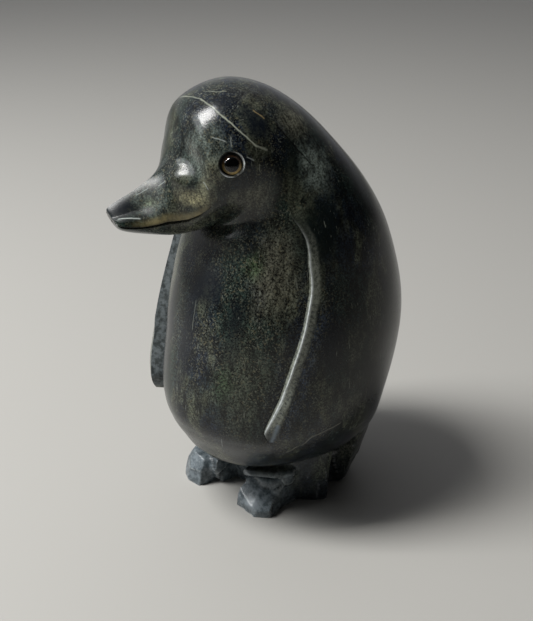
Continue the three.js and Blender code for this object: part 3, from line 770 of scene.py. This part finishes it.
# Fine scratches from the rasp, mostly up and down.
drawn = vector(tree, "MULTIPLY", where, (1.0, 1.0, 0.07))
scratch = ramp(tree, noise(tree, drawn, 1300, 1, 0.5), 0.68, 0.75)
scratch_here = ramp(tree, noise(tree, where, 120, 2), 0.48, 0.6)
scratches = maths(tree, "MULTIPLY", scratch, scratch_here)
colour = blend(tree, maths(tree, "MULTIPLY", scratches, 0.5), colour, (0.22, 0.24, 0.2))

# The vein over the head, hair cracks, chips, rubbed lines and painted glints on the beak: ends in
# millimetres, half width, waver, strength, colour.
VEIN_GREEN, CHALK_AND_GLINT, CRACK = (0.34, 0.36, 0.29), (0.42, 0.46, 0.44), (0.004, 0.004, 0.004)
STREAKS = [
    ((-20, -25.5, 169.2), (-6, -28.3, 171.5), 0.5, 1.4, 0.5, VEIN_GREEN),
    ((-6, -28.3, 171.5), (5.6, -29.1, 168), 0.5, 1.5, 0.65, VEIN_GREEN),
    ((5.6, -29.1, 168), (13.3, -27.3, 163.1), 0.5, 1.3, 0.85, VEIN_GREEN),
    ((13.3, -27.3, 163.1), (18.5, -23.9, 157.5), 0.45, 1.3, 0.85, VEIN_GREEN),
    ((17.6, -24.6, 158.2), (20.6, -20.4, 156.2), 0.7, 1.6, 0.75, VEIN_GREEN),
    ((-6, -24.2, 173.7), (-2.5, -23.4, 173.8), 0.4, 0.9, 0.4, VEIN_GREEN),
    ((-2.5, -23.4, 173.8), (0.3, -21, 174.2), 0.4, 0.9, 0.4, VEIN_GREEN),
    ((13.1, -1, 167.6), (19.9, -0.1, 161.2), 0.4, 1.6, 0.9, CRACK),
    ((19.9, -0.1, 161.2), (22.8, 6.2, 156), 0.25, 1.2, 0.9, CRACK),
    ((18.5, -13.7, 163.3), (23.4, -9.3, 156.1), 0.45, 1.6, 0.95, CRACK),
    ((23.4, -9.3, 156.1), (28.3, -4.8, 148.8), 0.45, 1.6, 0.95, CRACK),
    ((37.2, 19, 129.7), (41.5, 20, 118.4), 0.35, 1.6, 0.8, CRACK),
    ((7.2, -34.8, 161.1), (11.4, -32.3, 159.7), 0.35, 1.0, 0.55, CHALK_AND_GLINT),
    ((12.2, -30.4, 161.2), (13.3, -31.4, 158), 0.3, 1.0, 0.5, CHALK_AND_GLINT),
    ((12.2, -19.2, 168.9), (15.8, -17.1, 166), 0.45, 1.6, 0.6, (0.36, 0.27, 0.13)),
    ((6.1, -38.6, 145.2), (7.9, -37.9, 142.6), 0.3, 0.6, 0.7, CHALK_AND_GLINT),
    ((17.4, -27.6, 154.5), (18.9, -25.6, 152.9), 0.4, 1.0, 0.6, CHALK_AND_GLINT),
    ((19.9, -24.1, 151.6), (20.2, -23.9, 148.7), 0.35, 1.0, 0.5, VEIN_GREEN),
    # Pale nicks along the beak's ridge, painted bright as glints of light.
    ((-19.1, -49.4, 137.3), (-16.7, -45.5, 139.4), 0.25, 0.9, 0.6, CHALK_AND_GLINT),
    ((-13.7, -43.2, 140.4), (-11.4, -41.2, 142.3), 0.25, 0.9, 0.5, CHALK_AND_GLINT),
    ((38.4, -30.6, 63.8), (35.7, -34.3, 55.4), 0.3, 0.5, 0.8, CHALK_AND_GLINT),
    ((37.7, -32.3, 54.3), (34.9, -33.1, 45.8), 1.3, 1.2, 0.75, (0.20, 0.25, 0.30)),
    ((16.5, -42, 44.1), (14.5, -39.8, 38.5), 0.25, 0.4, 0.5, CHALK_AND_GLINT),
    ((33.5, -24, 38.3), (43.6, -19.6, 46.2), 0.7, 1.6, 0.7, (0.17, 0.17, 0.145)),
    ((43.6, -19.6, 46.2), (48, -7.6, 49.2), 0.7, 1.6, 0.7, (0.17, 0.17, 0.145)),
    # A painted highlight along the upper beak's edge over the mouth, near the tip.
    ((-18.8, -58.6, 130.6), (-13.3, -52.6, 130.8), 0.45, 0.6, 0.9, CHALK_AND_GLINT),
    ((-0.6, -38, 96.6), (0.2, -41.2, 85.3), 0.35, 0.8, 0.5, (0.2, 0.22, 0.19)),
]
# Each line lies along the skin, whose outward direction is read at the nearest point of the body.
for start, end, half_wide, waver, strength, tint in STREAKS:
    start, end = np.array(start), np.array(end)
    middle, along_line = (start + end) / 2, end - start
    row, column = np.unravel_index(((body_rows - middle) ** 2).sum(-1).argmin(), body_rows.shape[:2])
    up_row = body_rows[row + 1, column] - body_rows[row - 1, column]
    round_row = body_rows[row, (column + 1) % body_rows.shape[1]] - body_rows[row, column - 1]
    outward = np.cross(round_row, up_row)
    outward /= np.linalg.norm(outward)
    across_line = np.cross(along_line, outward)
    mask = use(
        tree, streak, Where=where, Middle=tuple(middle * MM),
        Along=tuple(along_line / (along_line @ along_line) * 2 / MM),
        Facing=tuple(across_line / np.linalg.norm(across_line)), Outward=tuple(outward),
        Width=half_wide * MM, Waver=waver * MM)
    colour = blend(tree, maths(tree, "MULTIPLY", mask, strength), colour, tint)

# Sawn and chiselled faces are blue-grey and mottled, and a few facets of the feet carry painted glints.
stone_raw = mark(tree, "raw")
mottle = ramp(tree, noise(tree, where, 420, 5, 0.7), 0.38, 0.62)
raw_colour = blend(tree, mottle, (0.022, 0.029, 0.032), (0.125, 0.145, 0.155))
colour = blend(tree, maths(tree, "MULTIPLY", stone_raw, 0.9), colour, raw_colour)
chisel_colour = blend(tree, mottle, (0.075, 0.095, 0.108), (0.20, 0.235, 0.26))
colour = blend(tree, maths(tree, "MULTIPLY", mark(tree, "chisel"), 0.85), colour, chisel_colour)
# Painted glints: pale grey on the top facets of the left toe and instep, faint on the right toe.
GLINT_GREY = (0.36, 0.40, 0.43)
colour = clouded(colour, [
    ((16.5, -25.5, 5), (6, 4.5, 4.5), 0.6, 0.9, 0.75, GLINT_GREY),
    ((20, -21, 11), (6, 4, 3.5), 0.6, 0.9, 0.7, GLINT_GREY),
    ((-18, -25, 9), (5, 4, 4), 0.6, 0.9, 0.1, GLINT_GREY),
])

# Ochre stains the edge over the mouth, painted shade darkens the grooves and hollows, and worn edges are
# chalky, with a painted glint along the wing's ridge and the sockets' lower rims.
torn = ramp(tree, noise(tree, where, 500, 3, 0.6), 0.3, 0.6, 0.5, 1.0)
stained = maths(tree, "MULTIPLY", mark(tree, "stain"), torn)
colour = blend(tree, maths(tree, "MULTIPLY", stained, 0.85), colour, (0.29, 0.245, 0.12))
colour = blend(tree, maths(tree, "MULTIPLY", mark(tree, "groove"), 0.85), colour, (0.006, 0.005, 0.004))
broken = ramp(tree, noise(tree, where, 600, 3, 0.7), 0.3, 0.55, 0.4, 1.0)
chalk_and_glint = maths(tree, "MULTIPLY", mark(tree, "wear"), broken)
colour = blend(tree, chalk_and_glint, colour, (0.66, 0.70, 0.70))
tree.links.new(colour, shader.inputs["Base Color"])

# The wax shines most on the head; raw and chalky places and the beak's upper side are duller.
polish = ramp(tree, noise(tree, where, 45, 3), 0.3, 0.7, 0.11, 0.19)
polish = maths(tree, "ADD", polish, maths(tree, "MULTIPLY", on_body, 0.09))
matt = maths(tree, "MAXIMUM", stone_raw, chalk_and_glint)
matt = maths(tree, "MAXIMUM", matt, maths(tree, "MULTIPLY", mark(tree, "dull"), 0.7))
tree.links.new(maths(tree, "ADD", polish, maths(tree, "MULTIPLY", matt, 0.3)), shader.inputs["Roughness"])
shader.inputs["IOR"].default_value = 1.43
bump = tree.nodes.new("ShaderNodeBump")
bump.inputs["Distance"].default_value = 0.00006
height = maths(tree, "ADD", maths(tree, "MULTIPLY", flecks, 0.6), maths(tree, "MULTIPLY", scratches, -0.8))
raw_height = maths(tree, "MULTIPLY", stone_raw, 3.5)
rough_grain = maths(tree, "MULTIPLY", noise(tree, where, 420, 5, 0.7), raw_height)
tree.links.new(maths(tree, "ADD", height, rough_grain), bump.inputs["Height"])
tree.links.new(bump.outputs[0], shader.inputs["Normal"])
bird.data.materials.clear()
bird.data.materials.append(stone)
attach(bird, "root")
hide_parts("stone_penguin")

# ---- The glass eyes -------------------------------------------------------------------------
# A domed bead of clear glass in each socket, flat behind, with a black pupil on an amber iris
# sealed inside. It is cemented in a little low and back, so a dark gap shows above it in front.

glass = bpy.data.materials.new("clear_glass")
glass.use_nodes = True
bead = glass.node_tree.nodes["Principled BSDF"]
bead.inputs["Base Color"].default_value = (1, 0.97, 0.93, 1)
bead.inputs["Roughness"].default_value = 0.02
bead.inputs["IOR"].default_value = 1.5
bead.inputs["Specular IOR Level"].default_value = 0.13
bead.inputs["Transmission Weight"].default_value = 1

iris_paint = bpy.data.materials.new("amber_iris")
iris_paint.use_nodes = True
tree = iris_paint.node_tree
out_from_middle = mark(tree, "outward")
where_in_eye = tree.nodes.new("ShaderNodeTexCoord").outputs["Object"]
iris_height = tree.nodes.new("ShaderNodeSeparateXYZ")
tree.links.new(where_in_eye, iris_height.inputs[0])
eye_height = eye_place(1)[0][2] * MM
# The iris is painted bright amber low down and dark brown above: painted light, as if falling through the
# dome onto its lower part.
painted_light_low = ramp(tree, iris_height.outputs[2], eye_height + 0.5 * MM, eye_height - 2.6 * MM)
amber = blend(tree, painted_light_low, (0.045, 0.016, 0.005), (1.0, 0.74, 0.26))
amber = blend(tree, ramp(tree, out_from_middle, 0.6, 0.95, 0.4, 0.0), amber, (0.03, 0.01, 0.003))
streaks = ramp(tree, noise(tree, where_in_eye, 1800, 3, 0.7), 0.3, 0.7, 0.0, 0.5)
amber = blend(tree, streaks, amber, (0.09, 0.04, 0.012))
paint = tree.nodes["Principled BSDF"]
tree.links.new(amber, paint.inputs["Base Color"])
paint.inputs["Roughness"].default_value = 0.4
paint.inputs["Specular IOR Level"].default_value = 0.2

pupil_paint = bpy.data.materials.new("black_pupil")
pupil_paint.use_nodes = True
tree = pupil_paint.node_tree
flecks = noise(tree, tree.nodes.new("ShaderNodeTexCoord").outputs["Object"], 2500, 2)
black = blend(tree, flecks, (0.001, 0.001, 0.001), (0.003, 0.002, 0.002))
paint = tree.nodes["Principled BSDF"]
tree.links.new(black, paint.inputs["Base Color"])
paint.inputs["Roughness"].default_value = 0.95
paint.inputs["Specular IOR Level"].default_value = 0.0

# Profiles of the bead, the iris and the pupil: radius, height along the eye's axis.
BEAD_RADIUS, BEAD_LOW_BACK, DOME_STEPS = 3.5, 0.4, 32
dome = np.linspace(0, np.pi / 2, DOME_STEPS)
bead_profile = [
    (0, EYE_FLOOR), (2.2, EYE_FLOOR), (BEAD_RADIUS - 0.2, EYE_FLOOR), (BEAD_RADIUS, EYE_FLOOR + 0.2),
]
bead_profile += [(BEAD_RADIUS * math.cos(a), EYE_DOME * math.sin(a) - EYE_SUNK) for a in dome]
IRIS_RADIUS, PUPIL_RADIUS = 3.2, 1.95
iris_profile = [
    (0, -3.0), (2.5, -3.0), (IRIS_RADIUS, -3.0), (IRIS_RADIUS, -2.8), (2.6, -2.7), (1.4, -2.7), (0, -2.7),
]
pupil_profile = [
    (0, -2.68), (1.2, -2.68), (PUPIL_RADIUS, -2.68), (PUPIL_RADIUS, -2.6), (1.4, -2.58), (0, -2.58),
]
EYE_PARTS = (
    ("glass", bead_profile, glass),
    ("iris", iris_profile, iris_paint),
    ("pupil", pupil_profile, pupil_paint),
)
for side, name in ((1, "left_eye"), (-1, "right_eye")):
    for part, profile, paint in EYE_PARTS:
        share = [r / IRIS_RADIUS for r, _ in profile[1:-1]]
        mesh = turned(f"{name}_{part}", profile, side, count=96, low_back=BEAD_LOW_BACK, outward=share)
        mesh.shade_smooth()
        mesh.set_sharp_from_angle(angle=math.radians(40))
        mesh.materials.append(paint)
        piece = bpy.data.objects.new(f"{name}_{part}", mesh)
        bpy.context.scene.collection.objects.link(piece)
        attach(piece, "root")
        if part == "glass":
            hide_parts(name)

# ---- The table, the lights and the camera ---------------------------------------------------
# A plain pale table that goes on behind the bird, in a room that is bright on its right and dark
# on its left. A tall soft light stands high on its right and a weaker one under it, and the camera
# looks down from its left front.

TABLE_REACH = 6
floor_mesh = bpy.data.meshes.new("table")
floor_corners = [(x * TABLE_REACH, y * TABLE_REACH, 0) for x, y in ((-1, -1), (1, -1), (1, 1), (-1, 1))]
floor_mesh.from_pydata(floor_corners, [], [(0, 1, 2, 3)])
floor = bpy.data.objects.new("table", floor_mesh)
bpy.context.scene.collection.objects.link(floor)
floor_paint = bpy.data.materials.new("pale_table")
floor_paint.use_nodes = True
paint = floor_paint.node_tree.nodes["Principled BSDF"]
paint.inputs["Base Color"].default_value = (0.435, 0.425, 0.40, 1)
paint.inputs["Roughness"].default_value = 0.6
floor_mesh.materials.append(floor_paint)

room = bpy.data.worlds.new("room")
room.use_nodes = True
tree = room.node_tree
BRIGHT_SIDE, ROOM_DARK, ROOM_BRIGHT = (-0.95, 0.17, 0.26), 0.02, 0.42
sky_direction = tree.nodes.new("ShaderNodeTexCoord").outputs["Generated"]
brightness = ramp(
    tree, vector(tree, "DOT_PRODUCT", sky_direction, BRIGHT_SIDE), -0.2, 1.0, ROOM_DARK, ROOM_BRIGHT)
tree.links.new(brightness, tree.nodes["Background"].inputs["Strength"])
tree.nodes["Background"].inputs["Color"].default_value = (0.96, 0.97, 1.0, 1)
bpy.context.scene.world = room

LOOK_AT = Vector((-3.9, 4.2, -11.215)) * MM + (cad_low + cad_high) / 2


def towards(azimuth, elevation):
    """Unit vector from the bird towards a viewer; azimuth 0 is in front and 90 on its left."""
    a, e = math.radians(azimuth), math.radians(elevation)
    return Vector((math.sin(a) * math.cos(e), -math.cos(a) * math.cos(e), math.sin(e)))


def softbox(name, azimuth, elevation, distance, size, power, tint):
    """A flat rectangular light that faces the bird from that side and height."""
    lamp = bpy.data.lights.new(name, "AREA")
    lamp.shape, lamp.energy, lamp.color = "RECTANGLE", power, tint
    lamp.size, lamp.size_y = size
    stand = bpy.data.objects.new(name, lamp)
    stand.location = LOOK_AT + towards(azimuth, elevation) * distance
    stand.rotation_mode = "QUATERNION"
    stand.rotation_quaternion = towards(azimuth, elevation).to_track_quat("Z", "Y")
    bpy.context.scene.collection.objects.link(stand)


softbox("high_window", -39, 57, 1.2, (0.38, 0.62), 19, (1.0, 0.995, 0.98))
softbox("low_sky", -46, 33, 1.3, (0.6, 0.5), 3.2, (0.93, 0.97, 1.0))
bpy.context.scene.view_settings.view_transform = "Standard"

CAMERA_AZIMUTH, CAMERA_ELEVATION, CAMERA_DISTANCE, LENS, SENSOR = 44, 25, 0.42, 57.97, 36
camera = bpy.data.cameras.new("camera")
camera.lens, camera.sensor_width = LENS, SENSOR
camera.clip_start, camera.clip_end = 0.01, 50
camera.dof.use_dof = False
shot = bpy.data.objects.new("camera", camera)
shot.location = LOOK_AT + towards(CAMERA_AZIMUTH, CAMERA_ELEVATION) * CAMERA_DISTANCE
shot.rotation_mode = "QUATERNION"
shot.rotation_quaternion = towards(CAMERA_AZIMUTH, CAMERA_ELEVATION).to_track_quat("Z", "Y")
bpy.context.scene.collection.objects.link(shot)
bpy.context.scene.camera = shot
